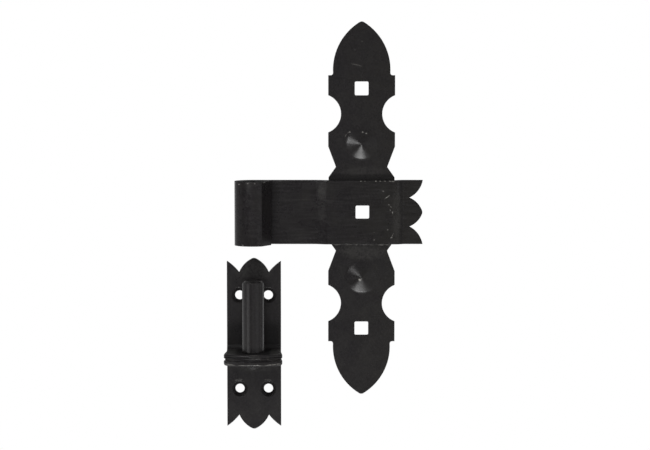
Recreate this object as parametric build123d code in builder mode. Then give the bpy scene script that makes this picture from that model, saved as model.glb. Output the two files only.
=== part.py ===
"""Lift-off shutter hinge: a rolled-eye strap over a decorative cross plate, and a
folded wall bracket with a riveted pin. Millimetres. The origin is the middle of the
eye, +Z runs up the pin's axis, +X along the strap, and -Y faces the viewer.
"""
import os
from math import asin, atan, degrees, tan

from build123d import *

# Pin and eye
pin_diameter = 13.0
eye_play = 0.2
strap_thickness = 4.0
strap_width = 37.6
seam_gap = 0.6
press_flat_start = -59.0
press_flat_end = 0.0

# Strap along the shutter
tail_length = 13.3
joggle_clearance = 0.1
eye_joggle_run = 6.2
tail_joggle_run = 2.5
bend_inside_radius = 1.5

# Three-pointed ends: the strap's, and the roundness of every middle tip
crown_tip_round = 3.0
strap_valley_offset = 8.5
strap_crown_depth = 8.0
strap_middle_bulge = 1.4
strap_corner_bulge = 1.6

# Cross plate
plate_thickness = 2.5
plate_centre_x = 63.7
plate_centre_z = 1.8
plate_middle_width = 38.8
waist_width = 30.1
block_width = 39.2
shoulder_step = 2.9
flare_start = 18.6
waist_height = 24.7
block_bottom = 36.8
notch_bottom = 45.0
notch_top = 66.8
shoulder_height = 78.5
ogive_height = 110.3
notch_depth = 7.5
ogive_bulge = 5.35
tip_round = 2.6
shoulder_round = 1.4
waist_round = 1.0

# Square bolt holes
square_hole = 8.1
square_hole_round = 0.8
outer_hole_offset = 70.8
middle_hole_shift = 0.5

# Pressed cones
boss_offset = 39.3
boss_shift = -1.0
boss_radius = 9.4
boss_height = 3.6
boss_flank_hollow = 0.13
boss_tip_round = 1.6
boss_base_round = 4.5

# Wall bracket, folded from one strip
bracket_thickness = 3.5
bracket_width = 32.0
fold_gap = 0.2
root_bend_radius = 3.0
ledge_overhang = 4.5
ledge_height = -85.8
upper_tip_rise = 58.1
lower_tip_drop = 44.5
bracket_valley_offset = 8.8
bracket_crown_depth = 8.7
bracket_corner_setback = 2.0
bracket_middle_bulge = 1.25
bracket_corner_bulge = 0.4
ledge_width = 34.7
ledge_front_bulge = 6.0
ledge_corner_round = 4.0
ledge_rim_round = 1.3
fold_bevel = 0.9
groove_depth = 0.9
nose_wall = 4.0
crease_rise = 1.65
crease_height = 0.4
crease_depth = 0.4

# Screw holes of the bracket
screw_spacing_x = 17.0
screw_spacing_z = 56.0
upper_screw_rise = 35.8
screw_hole_diameter = 5.5
countersink_diameter = 9.3
countersink_angle = 90.0

# Pin on the bracket
pin_length = 42.5
pin_top_bevel = 1.1
tenon_diameter = 6.0
tenon_play = 0.05
rivet_head_diameter = 7.2
rivet_head_height = 2.8
rivet_head_bevel = 1.5


def mitre(length, run):
    """Part of a length that a bend takes up where the strap slants over a run."""
    return length * tan(atan(plate_thickness / run) / 2)


# Sizes worked out from the ones above
bore_radius = pin_diameter / 2 + eye_play
eye_radius = bore_radius + strap_thickness
shutter_face = eye_radius
plate_front = shutter_face - plate_thickness
roll_end_angle = degrees(asin((bore_radius - seam_gap) / eye_radius))
bend_outside_radius = bend_inside_radius + strap_thickness
eye_lead = joggle_clearance + mitre(bend_inside_radius, eye_joggle_run)
tail_lead = joggle_clearance + mitre(bend_inside_radius, tail_joggle_run)
raised_start = plate_centre_x - plate_middle_width / 2 - eye_lead
raised_end = plate_centre_x + plate_middle_width / 2 + tail_lead
strap_reach = raised_end + tail_joggle_run + tail_length
bracket_front = eye_radius + root_bend_radius
bracket_back = bracket_front + bracket_thickness
ledge_root = bracket_front - root_bend_radius
half_ledge = bracket_thickness + fold_gap / 2
ledge_top = ledge_height + half_ledge
ledge_bottom = ledge_height - half_ledge
ledge_front = -pin_diameter / 2 - ledge_overhang
ogive_width = block_width - 2 * shoulder_step

# Planes that face the viewer: local x is +X, local y is +Z, and the normal is -Y
plate_back_plane = Plane(
    origin=(plate_centre_x, shutter_face, plate_centre_z), x_dir=(1, 0, 0), z_dir=(0, -1, 0)
)
plate_front_plane = plate_back_plane.offset(plate_thickness)
bracket_front_plane = Plane(
    origin=(0, bracket_front, ledge_height), x_dir=(1, 0, 0), z_dir=(0, -1, 0)
)

# Plane of the fold's edge view: local x is +Y, and local y is +Z from the fold
fold_plane = Plane(origin=(0, 0, ledge_height), x_dir=(0, 1, 0), z_dir=(1, 0, 0))


def crown(width, valley, depth, setback, middle_bulge, corner_bulge, foot):
    """Strip end cut to three points, the middle tip at the origin and the foot below it."""
    with BuildSketch() as outline:
        with BuildLine():
            SagittaArc((0, 0), (valley, -depth), middle_bulge)
            SagittaArc((valley, -depth), (width / 2, -setback), corner_bulge)
            Line((width / 2, -setback), (width / 2, -foot))
            Line((width / 2, -foot), (0, -foot))
            mirror(about=Plane.YZ)
        make_face()
        fillet(outline.vertices().sort_by_distance((0, 0))[0], crown_tip_round)
    return outline.sketch


def strap_profile():
    """Edge view of the rolled strip: the eye, then the strap with its step over the plate."""
    eye_shift = mitre(strap_thickness, eye_joggle_run)
    tail_shift = mitre(strap_thickness, tail_joggle_run)
    raised_front = bore_radius - plate_thickness
    with BuildSketch() as profile:
        with BuildLine():
            back = FilletPolyline(
                (0, shutter_face),
                (raised_start - eye_joggle_run, shutter_face),
                (raised_start, plate_front),
                (raised_end, plate_front),
                (raised_end + tail_joggle_run, shutter_face),
                (strap_reach, shutter_face),
                radius=(
                    bend_outside_radius,
                    bend_inside_radius,
                    bend_inside_radius,
                    bend_outside_radius,
                ),
            )
            front = FilletPolyline(
                (0, bore_radius),
                (raised_start - eye_joggle_run - eye_shift, bore_radius),
                (raised_start - eye_shift, raised_front),
                (raised_end + tail_shift, raised_front),
                (raised_end + tail_joggle_run + tail_shift, bore_radius),
                (strap_reach, bore_radius),
                radius=(
                    bend_inside_radius,
                    bend_outside_radius,
                    bend_outside_radius,
                    bend_inside_radius,
                ),
            )
            Line(back @ 1, front @ 1)
            roll_span = 270 + press_flat_start
            outer_roll = CenterArc((0, 0), eye_radius, 90, roll_span)
            closing_roll = CenterArc(
                (0, 0), eye_radius, press_flat_end, roll_end_angle - press_flat_end
            )
            Line(outer_roll @ 1, closing_roll @ 0)
            bore_wall = CenterArc((0, 0), bore_radius, 90, 270 + roll_end_angle)
            Line(closing_roll @ 1, bore_wall @ 1)
        make_face()
    return profile.sketch


def plate_outline():
    """Outline of the cross plate: one quarter, mirrored both ways."""
    with BuildSketch() as outline:
        with BuildLine():
            Polyline(
                (0, 0),
                (plate_middle_width / 2, 0),
                (plate_middle_width / 2, flare_start),
                (waist_width / 2, waist_height),
                (block_width / 2, block_bottom),
                (block_width / 2, notch_bottom),
            )
            SagittaArc(
                (block_width / 2, notch_bottom), (block_width / 2, notch_top), notch_depth
            )
            Polyline(
                (block_width / 2, notch_top),
                (block_width / 2, shoulder_height),
                (ogive_width / 2, shoulder_height),
            )
            SagittaArc((ogive_width / 2, shoulder_height), (0, ogive_height), -ogive_bulge)
            Line((0, ogive_height), (0, 0))
        make_face()
        mirror(about=Plane.YZ)
        mirror(about=Plane.XZ)
        corner_rounds = (
            ((0, ogive_height), tip_round),
            ((ogive_width / 2, shoulder_height), shoulder_round),
            ((waist_width / 2, waist_height), waist_round),
        )
        for (x, y), radius in corner_rounds:
            for corner in {(x, y), (-x, y), (x, -y), (-x, -y)}:
                fillet(outline.vertices().sort_by_distance(corner)[0], radius)
    return outline.sketch


def boss_solid():
    """Pressed cone on its base, with a slightly hollow flank and a round tip."""
    with BuildPart() as boss:
        with BuildSketch(Plane.XZ) as section:
            with BuildLine():
                SagittaArc((-boss_radius, 0), (0, boss_height), -boss_flank_hollow)
                SagittaArc((0, boss_height), (boss_radius, 0), -boss_flank_hollow)
                Line((boss_radius, 0), (-boss_radius, 0))
            make_face()
            fillet(section.vertices().sort_by(Axis.Y)[-1], boss_tip_round)
            with Locations((-boss_radius, 0)):
                Rectangle(2 * boss_radius, 2 * boss_height, mode=Mode.SUBTRACT)
        revolve(axis=Axis.Z)
    return boss.part


def bracket_profile():
    """Edge view of the folded strip behind the pin, its heights counted from the fold."""
    outside_radius = root_bend_radius + bracket_thickness
    bend_height = half_ledge + root_bend_radius
    with BuildSketch() as profile:
        for rise, side in ((upper_tip_rise, 1), (lower_tip_drop, -1)):
            bend_centre = (ledge_root, side * bend_height)
            with BuildLine():
                inside = CenterArc(bend_centre, root_bend_radius, -90 * side, 90 * side)
                outside = CenterArc(bend_centre, outside_radius, -90 * side, 90 * side)
                Polyline(inside @ 1, (bracket_front, side * rise), (bracket_back, side * rise), outside @ 1)
                Line(inside @ 0, outside @ 0)
            make_face()
    return profile.sketch


def ledge_outline():
    """Plan view of the doubled ledge, wider at its rounded front than at its root."""
    corner = ledge_front + ledge_front_bulge
    with BuildSketch() as outline:
        with BuildLine():
            SagittaArc((-ledge_width / 2, corner), (ledge_width / 2, corner), -ledge_front_bulge)
            Polyline(
                (ledge_width / 2, corner),
                (bracket_width / 2, ledge_root),
                (-bracket_width / 2, ledge_root),
                (-ledge_width / 2, corner),
            )
        make_face()
        for side in (1, -1):
            front_corner = (side * ledge_width / 2, corner)
            fillet(outline.vertices().sort_by_distance(front_corner)[0], ledge_corner_round)
    return outline.sketch


def ledge_layer(side):
    """Upper or lower thickness of the ledge: a round outer rim, and a bevel at the fold."""
    with BuildPart() as layer:
        with BuildSketch(Plane.XY.offset(ledge_height + side * fold_gap / 2)):
            add(ledge_outline())
        extrude(amount=side * bracket_thickness)
        for place, soften, size in ((-1, fillet, ledge_rim_round), (0, chamfer, fold_bevel)):
            flat = layer.faces().filter_by(Plane.XY).sort_by(Axis.Z, reverse=side < 0)[place]
            soften(flat.edges().sort_by(Axis.Y)[:-1], size)
    return layer.part


with BuildPart() as strap:
    add(strap_profile())
    extrude(amount=strap_width / 2, both=True)
    strap_crown = crown(
        strap_width,
        strap_valley_offset,
        strap_crown_depth,
        0,
        strap_middle_bulge,
        strap_corner_bulge,
        strap_reach + 2 * eye_radius,
    )
    with BuildSketch(Plane.XZ):
        with Locations((strap_reach, 0)):
            add(strap_crown, rotation=-90)
    extrude(amount=2 * eye_radius, both=True, mode=Mode.INTERSECT)
    with BuildSketch(Plane.XZ):
        with Locations((plate_centre_x + middle_hole_shift, 0)):
            RectangleRounded(square_hole, square_hole, square_hole_round)
    extrude(amount=2 * eye_radius, both=True, mode=Mode.SUBTRACT)

pressed_cone = boss_solid()

with BuildPart() as cross_plate:
    with BuildSketch(plate_back_plane):
        add(plate_outline())
        hole_places = (
            (0, outer_hole_offset),
            (middle_hole_shift, -plate_centre_z),
            (0, -outer_hole_offset),
        )
        with Locations(*hole_places):
            RectangleRounded(square_hole, square_hole, square_hole_round, mode=Mode.SUBTRACT)
    extrude(amount=plate_thickness)
    boss_places = ((0, boss_shift + boss_offset), (0, boss_shift - boss_offset))
    with Locations(plate_front_plane):
        with Locations(*boss_places):
            add(pressed_cone)
    boss_edges = cross_plate.edges(Select.LAST)
    fillet(boss_edges.group_by(Axis.Y)[-1], radius=boss_base_round)
    with Locations(plate_back_plane):
        with Locations(*boss_places):
            add(pressed_cone, mode=Mode.SUBTRACT)

with BuildPart() as pin:
    with BuildSketch(Plane.XZ):
        with BuildLine():
            shoulder = ledge_top + tenon_play
            head_top = ledge_bottom - tenon_play
            head_tip = head_top - rivet_head_height
            tenon_radius = tenon_diameter / 2
            head_radius = rivet_head_diameter / 2
            pin_radius = pin_diameter / 2
            pin_top = ledge_top + pin_length
            Polyline(
                (0, head_tip),
                (0, pin_top),
                (pin_radius - pin_top_bevel, pin_top),
                (pin_radius, pin_top - pin_top_bevel),
                (pin_radius, shoulder),
                (tenon_radius, shoulder),
                (tenon_radius, head_top),
                (head_radius, head_top),
                (head_radius, head_tip + rivet_head_bevel),
                (head_radius - rivet_head_bevel, head_tip),
                (0, head_tip),
            )
        make_face()
    revolve(axis=Axis.Z)

ledge_layers = [ledge_layer(side) for side in (1, -1)]

with BuildPart() as wall_bracket:
    with BuildSketch(fold_plane):
        add(bracket_profile())
    extrude(amount=bracket_width / 2, both=True)
    bracket_ends = [
        crown(
            bracket_width,
            bracket_valley_offset,
            bracket_crown_depth,
            bracket_corner_setback,
            bracket_middle_bulge,
            bracket_corner_bulge,
            length,
        )
        for length in (upper_tip_rise, lower_tip_drop)
    ]
    with BuildSketch(bracket_front_plane):
        with Locations((0, upper_tip_rise)):
            add(bracket_ends[0])
        with Locations((0, -lower_tip_drop)):
            add(bracket_ends[1], rotation=180)
    extrude(amount=bracket_back, both=True, mode=Mode.INTERSECT)
    add(ledge_layers)
    nose_depth = groove_depth + nose_wall
    with BuildSketch(Plane.XY.offset(ledge_height)):
        offset(ledge_outline(), amount=-groove_depth)
        with Locations((0, ledge_front)):
            Rectangle(ledge_width, 2 * nose_depth, mode=Mode.INTERSECT)
    extrude(amount=fold_bevel, both=True)
    with BuildSketch(Plane.XY.offset(ledge_height + crease_rise)):
        add(ledge_outline())
        offset(ledge_outline(), amount=-crease_depth, mode=Mode.SUBTRACT)
        with Locations((0, ledge_root)):
            Rectangle(ledge_width, 2 * crease_depth, mode=Mode.SUBTRACT)
    extrude(amount=crease_height / 2, both=True, mode=Mode.SUBTRACT)
    with Locations((0, 0, ledge_top)):
        Hole(tenon_diameter / 2 + tenon_play)
    with Locations(bracket_front_plane):
        with Locations((0, upper_screw_rise - screw_spacing_z / 2)):
            with GridLocations(screw_spacing_x, screw_spacing_z, 2, 2):
                CounterSinkHole(
                    screw_hole_diameter / 2,
                    countersink_diameter / 2,
                    counter_sink_angle=countersink_angle,
                )

strap.part.label = "strap"
cross_plate.part.label = "cross_plate"
pin.part.label = "pin"
wall_bracket.part.label = "wall_bracket"

os.makedirs("parts", exist_ok=True)
export_step(strap.part, "parts/strap.step")
export_step(cross_plate.part, "parts/cross_plate.step")
export_step(pin.part, "parts/pin.step")
export_step(wall_bracket.part, "parts/wall_bracket.step")
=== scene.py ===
"""Shutter hinge in black satin paint on a white ground: the finish of its four pieces,
the light and the camera. Metres. Object coordinates are the frame's own: +Z up the pin,
+X along the strap, -Y towards the viewer, and the origin in the middle of the eye.
"""
from math import atan2, cos, hypot, radians, sin

import bpy
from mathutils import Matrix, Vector

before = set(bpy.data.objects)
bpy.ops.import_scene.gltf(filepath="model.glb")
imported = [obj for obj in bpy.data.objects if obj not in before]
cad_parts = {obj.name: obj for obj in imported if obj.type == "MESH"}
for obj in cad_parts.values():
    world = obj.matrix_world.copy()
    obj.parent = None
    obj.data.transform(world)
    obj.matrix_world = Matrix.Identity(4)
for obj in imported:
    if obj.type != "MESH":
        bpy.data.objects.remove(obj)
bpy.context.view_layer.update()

# Camera: what the picture's width shows of the upright plane through its centre
picture_width = 0.3822
picture_centre = Vector((0.0422, 0.0060, -0.0075))
camera_distance = 1.2
camera_elevation = radians(4.7)
sensor_width = 36.0

# Ground and backdrop, and how bright their white is in reflections
backdrop_distance = 3.0
floor_height = -0.45
floor_front = -0.30
stage_reach = 3.0
ground_colour = (0.8, 0.8, 0.8, 1.0)
white = (1.0, 1.0, 1.0, 1.0)
gloss_white = 0.6

# World light, and the corner in which it is dimmed: azimuth and elevation of its middle,
# and the angles about it up to which it is dark and from which it is not
room_light = 0.35
dark_light = 0.02
dark_corner = (-45, -16)
dark_inside = radians(20)
dark_outside = radians(38)

# Lamps: the power per square metre that gives a radiance of 1, how far away the far ones
# are, and the points that the near ones are aimed at
power_per_area = 4.0
far_lamp_distance = 1.2
upper_cone = Vector((0.064, 0.005, 0.040))
pin_middle = Vector((0.0, 0.0, -0.065))

# Paint: linear colours
coal = (0.0094, 0.0080, 0.0088, 1.0)
soot = (0.0140, 0.0126, 0.0112, 1.0)
pitch = (0.0040, 0.0038, 0.0038, 1.0)
dust = (0.0415, 0.0385, 0.0398, 1.0)
# Grey of bare steel at chips, also used as the colour of the painted highlights and painted light
# in the marks
steel_and_highlight_grey = (0.30, 0.29, 0.27, 1.0)

# Paint: sizes of its patterns, and heights of its bumps
cloud_size = 0.009
speck_size = 0.0011
line_size = 0.0010
line_stretch = 10.0
chip_size = 0.0022
wave_size = 0.012
peel_depth = 0.0001
wave_depth = 0.0004
edge_radius = 0.0005
bevel_rays = 6

# Paint: where each pattern turns from none to full, in its own values
cloud_span = (0.3, 0.7)
speck_span = (0.25, 0.75)
line_span = (0.35, 0.75)
chip_span = (0.60, 0.72)
ragged_span = (0.3, 0.55)
stroke_span = (1.0, 0.4)
edge_span = (0.995, 0.85)
cut_side_span = (0.30, 0.12)
front_side_span = (0.5, 0.2)

# Paint: how far each pattern goes, and the stretch of X over which it turns warmer
speck_dust = 0.35
chip_steel = 0.5
gloss_gain = 0.04
gloss_loss = 0.05
warm_stretch = (0.050, 0.085)
warm_shift = 0.15


class Nodes:
    """A material's or a world's node tree, with short calls for the nodes in it."""

    def __init__(self, owner):
        owner.use_nodes = True
        self.tree = owner.node_tree
        self.tree.nodes.clear()
        coordinates = self.make("ShaderNodeTexCoord")
        self.place = coordinates.outputs["Object"]
        self.facing = coordinates.outputs["Normal"]

    def make(self, kind, **settings):
        node = self.tree.nodes.new(kind)
        for name, value in settings.items():
            setattr(node, name, value)
        return node

    def put(self, socket, value):
        """Links an output to a socket, or sets the socket's own value."""
        if isinstance(value, bpy.types.NodeSocket):
            self.tree.links.new(value, socket)
        else:
            socket.default_value = value

    def noise(self, size, detail=2.0, roughness=0.5, place=None):
        node = self.make("ShaderNodeTexNoise")
        self.put(node.inputs["Vector"], place or self.place)
        self.put(node.inputs["Scale"], 1.0 / size)
        self.put(node.inputs["Detail"], detail)
        self.put(node.inputs["Roughness"], roughness)
        return node.outputs["Fac"]

    def spread(self, value, low, high, to_low=0.0, to_high=1.0, smooth=False):
        """Turns the range low to high of a value into to_low to to_high, and stops there."""
        node = self.make("ShaderNodeMapRange")
        node.interpolation_type = "SMOOTHSTEP" if smooth else "LINEAR"
        self.put(node.inputs["Value"], value)
        self.put(node.inputs["From Min"], low)
        self.put(node.inputs["From Max"], high)
        self.put(node.inputs["To Min"], to_low)
        self.put(node.inputs["To Max"], to_high)
        return node.outputs["Result"]

    def math(self, operation, first, second=0.0):
        node = self.make("ShaderNodeMath", operation=operation)
        self.put(node.inputs[0], first)
        self.put(node.inputs[1], second)
        return node.outputs["Value"]

    def dot(self, first, second):
        node = self.make("ShaderNodeVectorMath", operation="DOT_PRODUCT")
        self.put(node.inputs[0], first)
        self.put(node.inputs[1], second)
        return node.outputs["Value"]

    def along(self, vector, axis):
        node = self.make("ShaderNodeSeparateXYZ")
        self.put(node.inputs["Vector"], vector)
        return node.outputs[axis]

    def mix(self, share, first, second):
        node = self.make("ShaderNodeMix", data_type="RGBA")
        self.put(node.inputs["Factor"], share)
        self.put(node.inputs["A"], first)
        self.put(node.inputs["B"], second)
        return node.outputs["Result"]

    def bump(self, height, strength, depth, normal):
        node = self.make("ShaderNodeBump")
        self.put(node.inputs["Height"], height)
        self.put(node.inputs["Strength"], strength)
        self.put(node.inputs["Distance"], depth)
        self.put(node.inputs["Normal"], normal)
        return node.outputs["Normal"]

    def stroke(self, start, end, width):
        """1 on a straight mark between two points (X, Z), seen along Y, and 0 off it."""
        (x0, z0), (x1, z1) = start, end
        node = self.make("ShaderNodeMapping", vector_type="TEXTURE")
        self.put(node.inputs["Vector"], self.place)
        self.put(node.inputs["Location"], ((x0 + x1) / 2, 0.0, (z0 + z1) / 2))
        self.put(node.inputs["Rotation"], (0.0, -atan2(z1 - z0, x1 - x0), 0.0))
        length = hypot(x1 - x0, z1 - z0) / 2 + width / 2
        self.put(node.inputs["Scale"], (length, 1.0, width / 2))
        reach = self.make("ShaderNodeVectorMath", operation="LENGTH")
        self.put(reach.inputs[0], node.outputs["Vector"])
        return self.spread(reach.outputs["Value"], *stroke_span, smooth=True)

    def edges(self):
        """(rounded normal, mask of the edges), from the sharp edges of the solid."""
        bevel = self.make("ShaderNodeBevel", samples=bevel_rays)
        self.put(bevel.inputs["Radius"], edge_radius)
        rounded = bevel.outputs["Normal"]
        flat = self.make("ShaderNodeNewGeometry").outputs["Normal"]
        return rounded, self.spread(self.dot(rounded, flat), *edge_span)


def paint(name, roughness, specular, grain, marks=(), rolled=0.0, cut_dullness=0.75):
    """Black paint over steel: mottling, rolling lines, uneven gloss, dull cut edges, chips
    and marks; many marks are painted highlights and painted light. The marks lie on what faces the
    viewer, and none on the back.
    """
    material = bpy.data.materials.new(name)
    nodes = Nodes(material)
    shader = nodes.make("ShaderNodeBsdfPrincipled")
    out = nodes.make("ShaderNodeOutputMaterial")
    nodes.put(out.inputs["Surface"], shader.outputs["BSDF"])
    shader.inputs["Specular IOR Level"].default_value = specular

    # Mottled black, a little warmer towards the right
    clouds = nodes.noise(cloud_size, detail=4.0, roughness=0.6)
    specks = nodes.noise(speck_size, detail=3.0, roughness=0.6)
    warmth = nodes.spread(nodes.along(nodes.place, "X"), *warm_stretch, -warm_shift, warm_shift)
    colour = nodes.mix(nodes.spread(nodes.math("ADD", clouds, warmth), *cloud_span), coal, soot)

    # Specks and rolling lines of dust
    strip = nodes.make("ShaderNodeMapping")
    nodes.put(strip.inputs["Vector"], nodes.place)
    nodes.put(strip.inputs["Scale"], (1.0 / line_stretch, 1.0, 1.0))
    lines = nodes.noise(line_size, detail=3.0, roughness=0.6, place=strip.outputs["Vector"])
    mottle = nodes.spread(specks, *speck_span, 0.0, speck_dust)
    mottle = nodes.math("ADD", mottle, nodes.spread(lines, *line_span, -rolled, rolled))
    colour = nodes.mix(nodes.math("MAXIMUM", mottle, 0.0), colour, dust)

    # Dull black on cut sides and edges
    rounded, edge = nodes.edges()
    facing = nodes.along(nodes.facing, "Y")
    side = nodes.spread(nodes.math("ABSOLUTE", facing), *cut_side_span)
    cut = nodes.math("MULTIPLY", nodes.math("MAXIMUM", side, edge), cut_dullness)
    colour = nodes.mix(cut, colour, pitch)

    # Steel grey at chipped edges and on the marks; many marks are painted highlights and painted
    # light, not steel
    chips = nodes.noise(chip_size, detail=4.0, roughness=0.7)
    broken = nodes.spread(chips, *chip_span)
    steel_and_highlight_share = nodes.math("MULTIPLY", nodes.math("MULTIPLY", edge, broken), chip_steel)
    in_front = nodes.spread(facing, *front_side_span)
    ragged = nodes.math("MULTIPLY", nodes.spread(specks, *ragged_span), in_front)
    for start, end, width, strength in marks:
        stroke = nodes.math("MULTIPLY", nodes.stroke(start, end, width), ragged)
        steel_and_highlight_share = nodes.math("MAXIMUM", steel_and_highlight_share, nodes.math("MULTIPLY", stroke, strength))
    nodes.put(shader.inputs["Base Color"], nodes.mix(steel_and_highlight_share, colour, steel_and_highlight_grey))

    # Uneven gloss, and the grain of the paint on rounded edges
    gloss = nodes.spread(clouds, *cloud_span, roughness - gloss_gain, roughness + gloss_loss)
    nodes.put(shader.inputs["Roughness"], nodes.math("MAXIMUM", gloss, cut))
    peel = nodes.bump(specks, grain, peel_depth, rounded)
    waves = nodes.bump(nodes.noise(wave_size), grain, wave_depth, peel)
    nodes.put(shader.inputs["Normal"], waves)
    return material


def dress(node, material):
    """Gives a piece its finish, in every slot that it has."""
    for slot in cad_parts[node].material_slots:
        slot.material = material


# Marks: from and to (X, Z), width, and how far the steel grey shows. Some are scratches and chips,
# and many are painted highlights and painted light, as noted at each
strap_wear_and_painted_light = (
    # Bright dots along the strap's top edge: paint chips painted bright as glints, partly a painted
    # highlight
    ((0.0630, 0.0184), (0.0636, 0.0184), 0.0007, 0.8),
    ((0.0655, 0.0184), (0.0660, 0.0183), 0.0006, 0.7),
    ((0.0717, 0.0184), (0.0723, 0.0184), 0.0007, 0.8),
    ((0.0743, 0.0184), (0.0748, 0.0184), 0.0006, 0.8),
    ((0.0769, 0.0184), (0.0775, 0.0184), 0.0007, 0.7),
    ((0.0795, 0.0184), (0.0832, 0.0182), 0.0007, 0.8),
    ((0.0770, 0.0079), (0.0803, 0.0102), 0.0007, 0.9),
    ((0.0788, -0.0102), (0.0792, -0.0101), 0.0008, 0.9),
    ((0.0809, -0.0149), (0.0814, -0.0147), 0.0010, 1.0),
    ((0.0813, -0.0145), (0.0824, -0.0121), 0.0005, 0.7),
    ((0.0708, -0.0118), (0.0711, -0.0118), 0.0007, 0.7),
    ((0.0711, -0.0162), (0.0712, -0.0161), 0.0007, 0.7),
    ((0.0795, 0.0048), (0.0799, 0.0044), 0.0006, 0.7),
    ((0.0806, 0.0035), (0.0812, 0.0030), 0.0006, 0.8),
    ((0.0803, 0.0017), (0.0806, 0.0012), 0.0006, 0.7),
    ((0.0817, 0.0005), (0.0819, -0.0008), 0.0006, 0.7),
    ((0.0757, 0.0127), (0.0766, 0.0124), 0.0010, 0.5),
    ((0.0060, 0.0072), (0.0530, 0.0073), 0.0006, 0.06),
    # Painted light: the strap's left joggle slope made lighter, most at the top, where it faces the
    # light
    ((0.0401, 0.0165), (0.0401, 0.0075), 0.0056, 0.060),
    ((0.0401, 0.0075), (0.0401, -0.0060), 0.0056, 0.035),
    # Painted light: the strap's right joggle slope made evenly lighter
    ((0.0842, 0.0180), (0.0842, -0.0180), 0.0076, 0.045),
    # Bright dots on the eye's top and bottom rims: paint chips painted bright as glints, partly a
    # painted highlight
    ((-0.0081, 0.0172), (-0.0075, 0.0173), 0.0007, 0.8),
    ((-0.0029, 0.0178), (-0.0022, 0.0178), 0.0006, 0.8),
    ((0.0012, 0.0178), (0.0019, 0.0178), 0.0006, 0.7),
    ((0.0064, 0.0183), (0.0073, 0.0183), 0.0007, 0.7),
    ((-0.0058, -0.0180), (-0.0051, -0.0181), 0.0007, 0.8),
)
plate_wear_and_painted_light = (
    # Painted highlight: the light line along the strap's lower edge, a reflection of the low lamp,
    # painted as a steel-grey line
    ((0.0466, -0.0193), (0.0530, -0.0195), 0.0007, 0.5),
    ((0.0530, -0.0195), (0.0600, -0.0193), 0.0006, 0.4),
    ((0.0605, -0.0194), (0.0614, -0.0194), 0.0009, 0.8),
    ((0.0620, -0.0194), (0.0730, -0.0196), 0.0006, 0.4),
    ((0.0732, -0.0195), (0.0770, -0.0194), 0.0008, 0.7),
    ((0.0770, -0.0194), (0.0811, -0.0195), 0.0006, 0.5),
    ((0.0568, 0.0872), (0.0645, 0.0855), 0.0008, 0.22),
    ((0.0637, 0.1001), (0.0641, 0.1001), 0.0008, 0.15),
    ((0.0596, 0.0951), (0.0599, 0.0951), 0.0010, 0.12),
    # Painted highlights: bright glints on the upper cone's top rim
    ((0.0566, 0.0470), (0.0569, 0.0470), 0.0008, 1.0),
    ((0.0641, 0.0470), (0.0645, 0.0470), 0.0010, 1.0),
    ((0.0663, 0.0463), (0.0666, 0.0463), 0.0009, 1.0),
    ((0.0540, 0.0444), (0.0549, 0.0460), 0.0005, 0.6),
    ((0.0549, 0.0460), (0.0573, 0.0478), 0.0005, 0.6),
    # Painted highlight: the bright spot just below the lower cone's apex
    ((0.0625, -0.0398), (0.0630, -0.0400), 0.0018, 1.0),
    # Faint broad lightening of the plate just below and above the strap
    ((0.0520, -0.0225), (0.0760, -0.0240), 0.0120, 0.055),
    ((0.0520, 0.0235), (0.0770, 0.0240), 0.0080, 0.030),
    ((0.0600, 0.0228), (0.0700, 0.0226), 0.0020, 0.050),
)
bracket_painted_light = (
    # Painted highlight: the bright line along the ledge's lower lip, where it reflects the low lamp
    ((-0.0180, -0.0880), (-0.0095, -0.0886), 0.0010, 0.45),
    ((-0.0095, -0.0885), (0.0000, -0.0882), 0.0008, 0.5),
    ((0.0000, -0.0882), (0.0060, -0.0885), 0.0008, 0.6),
    ((0.0060, -0.0885), (0.0180, -0.0880), 0.0010, 0.55),
    # Painted highlights: the lit lobes and top rims of the ledge's front
    ((-0.0185, -0.0857), (-0.0090, -0.0859), 0.0024, 0.09),
    ((0.0090, -0.0860), (0.0185, -0.0862), 0.0022, 0.06),
    ((-0.0030, -0.0826), (0.0060, -0.0827), 0.0009, 0.15),
    ((-0.0030, -0.0844), (0.0060, -0.0844), 0.0010, 0.15),
    ((-0.0180, -0.0821), (-0.0090, -0.0821), 0.0010, 0.12),
    ((0.0090, -0.0821), (0.0180, -0.0821), 0.0010, 0.12),
    # Painted light: the lower plate lighter just under the ledge, where light from below falls
    ((-0.0120, -0.0940), (0.0160, -0.0935), 0.0050, 0.035),
    # Painted highlights: lit crescents along the top edges of the two lower holes
    ((-0.0113, -0.1012), (-0.0092, -0.1004), 0.0013, 0.22),
    ((-0.0092, -0.1004), (-0.0072, -0.1006), 0.0013, 0.22),
    ((0.0063, -0.1008), (0.0082, -0.1004), 0.0012, 0.17),
    ((0.0082, -0.1004), (0.0102, -0.1010), 0.0012, 0.17),
    # Painted light: lifts the shade on the bracket above the pin's top
    ((-0.0060, -0.0352), (0.0060, -0.0352), 0.0160, 0.060),
)
dress(
    "strap",
    paint("strap_paint", roughness=0.28, specular=0.27, grain=0.06, marks=strap_wear_and_painted_light, rolled=0.22),
)
dress(
    "cross_plate",
    paint("plate_paint", roughness=0.27, specular=0.29, grain=0.06, marks=plate_wear_and_painted_light),
)
dress(
    "pin",
    paint("pin_paint", roughness=0.22, specular=0.38, grain=0.02, cut_dullness=0.0),
)
dress(
    "wall_bracket",
    paint("bracket_paint", roughness=0.30, specular=0.27, grain=0.06, marks=bracket_painted_light),
)


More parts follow.
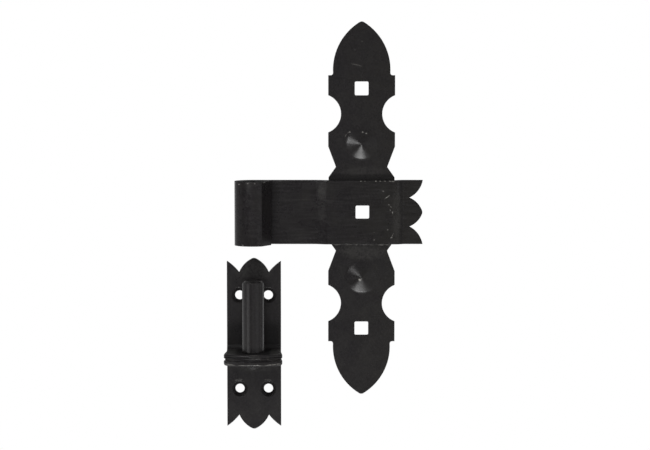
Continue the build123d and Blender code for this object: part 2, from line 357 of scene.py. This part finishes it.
def white_stage(name):
    """Pale ground that shows as plain white to the eye, and as a dimmer white in gloss."""
    material = bpy.data.materials.new(name)
    nodes = Nodes(material)
    path = nodes.make("ShaderNodeLightPath").outputs
    gloss = nodes.math("MAXIMUM", path["Is Glossy Ray"], path["Is Transmission Ray"])
    gloss = nodes.math("MULTIPLY", gloss, gloss_white)
    seen = nodes.math("MAXIMUM", path["Is Camera Ray"], gloss)
    pale = nodes.make("ShaderNodeBsdfDiffuse")
    nodes.put(pale.inputs["Color"], ground_colour)
    glow = nodes.make("ShaderNodeEmission")
    join = nodes.make("ShaderNodeMixShader")
    nodes.put(join.inputs["Fac"], seen)
    nodes.put(join.inputs[1], pale.outputs["BSDF"])
    nodes.put(join.inputs[2], glow.outputs["Emission"])
    out = nodes.make("ShaderNodeOutputMaterial")
    nodes.put(out.inputs["Surface"], join.outputs["Shader"])
    return material


def stage_plane(name, corners, material):
    mesh = bpy.data.meshes.new(name)
    mesh.from_pydata(corners, [], [(0, 1, 2, 3)])
    mesh.materials.append(material)
    plane = bpy.data.objects.new(name, mesh)
    bpy.context.scene.collection.objects.link(plane)


back_left = (-stage_reach, backdrop_distance, floor_height)
back_right = (stage_reach, backdrop_distance, floor_height)
stage_plane(
    "floor",
    [
        (-stage_reach, floor_front, floor_height),
        (stage_reach, floor_front, floor_height),
        back_right,
        back_left,
    ],
    white_stage("floor_white"),
)
stage_plane(
    "backdrop",
    [
        back_left,
        back_right,
        (stage_reach, backdrop_distance, stage_reach),
        (-stage_reach, backdrop_distance, stage_reach),
    ],
    white_stage("backdrop_white"),
)


def towards(azimuth, elevation):
    """Direction from the object, in degrees: azimuth 0 is the viewer's side, 90 the right."""
    a, e = radians(azimuth), radians(elevation)
    return Vector((sin(a) * cos(e), -cos(a) * cos(e), sin(e)))


world = bpy.data.worlds.new("studio")
bpy.context.scene.world = world
sky = Nodes(world)
sky_path = sky.make("ShaderNodeLightPath")
sky_light = sky.make("ShaderNodeBackground")
sky.put(sky_light.inputs["Color"], white)
direction = sky.make("ShaderNodeTexCoord").outputs["Generated"]
off_dark = sky.dot(direction, towards(*dark_corner))
dimmed = sky.spread(
    off_dark, cos(dark_outside), cos(dark_inside), room_light, dark_light, smooth=True
)
seen = sky.make("ShaderNodeMix", data_type="FLOAT")
sky.put(seen.inputs["Factor"], sky_path.outputs["Is Camera Ray"])
sky.put(seen.inputs["A"], dimmed)
sky.put(seen.inputs["B"], 1.0)
sky.put(sky_light.inputs["Strength"], seen.outputs["Result"])
sky_out = sky.make("ShaderNodeOutputWorld")
sky.put(sky_out.inputs["Surface"], sky_light.outputs["Background"])


def softbox(name, place, aim, width, height, radiance):
    """Rectangular lamp at a place, aimed at a point, with the brightness of its surface."""
    lamp = bpy.data.lights.new(name, "AREA")
    lamp.shape = "RECTANGLE"
    lamp.size = width
    lamp.size_y = height
    lamp.energy = radiance * power_per_area * width * height
    holder = bpy.data.objects.new(name, lamp)
    holder.location = place
    holder.rotation_euler = (aim - place).to_track_quat("-Z", "Y").to_euler()
    holder.visible_camera = False
    bpy.context.scene.collection.objects.link(holder)


def far_softbox(name, azimuth, elevation, width, height, radiance):
    place = picture_centre + towards(azimuth, elevation) * far_lamp_distance
    softbox(name, place, picture_centre, width, height, radiance)


# The low lamp lights the cones' lower flanks, and the right one fills in
far_softbox("low_front", azimuth=-4, elevation=-40.0, width=0.50, height=0.20, radiance=16.5)
far_softbox("right_fill", azimuth=44, elevation=2, width=0.70, height=0.80, radiance=0.20)
# The left ones give the cones' upper left wedges and the pin's streaks
softbox(
    "left_high", Vector((-0.097, -0.190, 0.070)), upper_cone, width=0.06, height=0.072, radiance=8.5
)
softbox(
    "left_low", Vector((-0.286, -0.202, -0.116)), pin_middle, width=0.17, height=0.08, radiance=1.25
)
softbox(
    "left_mid", Vector((-0.205, -0.290, -0.116)), pin_middle, width=0.10, height=0.08, radiance=0.45
)

camera_data = bpy.data.cameras.new("camera")
camera_data.sensor_width = sensor_width
camera_data.lens = sensor_width * camera_distance / picture_width
camera = bpy.data.objects.new("camera", camera_data)
camera.location = picture_centre + Vector(
    (0.0, -cos(camera_elevation), sin(camera_elevation))
) * camera_distance
camera.rotation_euler = (picture_centre - camera.location).to_track_quat("-Z", "Y").to_euler()
bpy.context.scene.collection.objects.link(camera)
bpy.context.scene.camera = camera
bpy.context.scene.view_settings.view_transform = "Standard"
